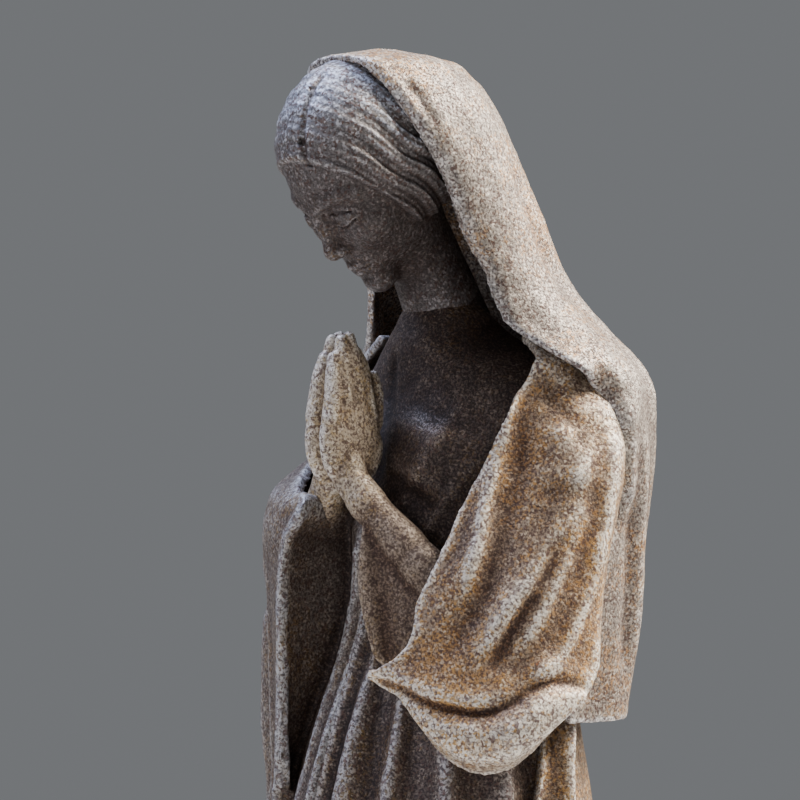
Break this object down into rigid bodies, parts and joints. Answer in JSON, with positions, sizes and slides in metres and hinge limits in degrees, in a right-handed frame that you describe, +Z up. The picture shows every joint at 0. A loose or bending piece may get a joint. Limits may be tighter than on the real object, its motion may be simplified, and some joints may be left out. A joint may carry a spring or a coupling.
{
  "type": "madonna statue",
  "caption": "Free-standing cast-iron devotional statue of a veiled woman with bowed head and hands pressed in prayer, built of hollow draped castings on a moulded plinth.",
  "frame": {"origin": "middle of the plinth's foot, on the surface that the statue stands on", "axes": "+Z up, the figure faces -Y, its left hand side is +X"},
  "size_m": [0.278, 0.278, 0.9],
  "materials": {
    "cast_iron": "rough sand-cast skin, weathered, with pale grey, ochre rust and dark brown speckle",
    "forged_iron": "dull, dark and lightly rusted"
  },
  "bodies": {
    "root": {"plinth": "cast_iron", "ground_plate": "cast_iron", "gown_front": "cast_iron", "mantle_back": "cast_iron", "mantle_left": "cast_iron", "mantle_right": "cast_iron", "veil": "cast_iron", "head": "cast_iron", "left_hand": "cast_iron", "right_hand": "cast_iron", "tie_rod": "forged_iron", "shoulder_bridge": "forged_iron", "plinth_bridge": "forged_iron", "bridge_nut": "forged_iron", "foot_washer": "forged_iron", "foot_nut": "forged_iron", "lap_screw_left_1": "forged_iron", "lap_screw_left_2": "forged_iron", "lap_screw_left_3": "forged_iron", "lap_screw_right_1": "forged_iron", "lap_screw_right_2": "forged_iron", "lap_screw_right_3": "forged_iron", "left_arm_stud": "forged_iron", "right_arm_stud": "forged_iron", "left_arm_nut": "forged_iron", "right_arm_nut": "forged_iron", "hand_screw_left": "forged_iron", "hand_screw_right": "forged_iron", "veil_screw_left": "forged_iron", "veil_screw_right": "forged_iron", "plate_screw_1": "forged_iron", "plate_screw_2": "forged_iron", "plate_screw_3": "forged_iron", "plate_screw_4": "forged_iron", "palm_dowel": "forged_iron"}
  },
  "joints": []
}
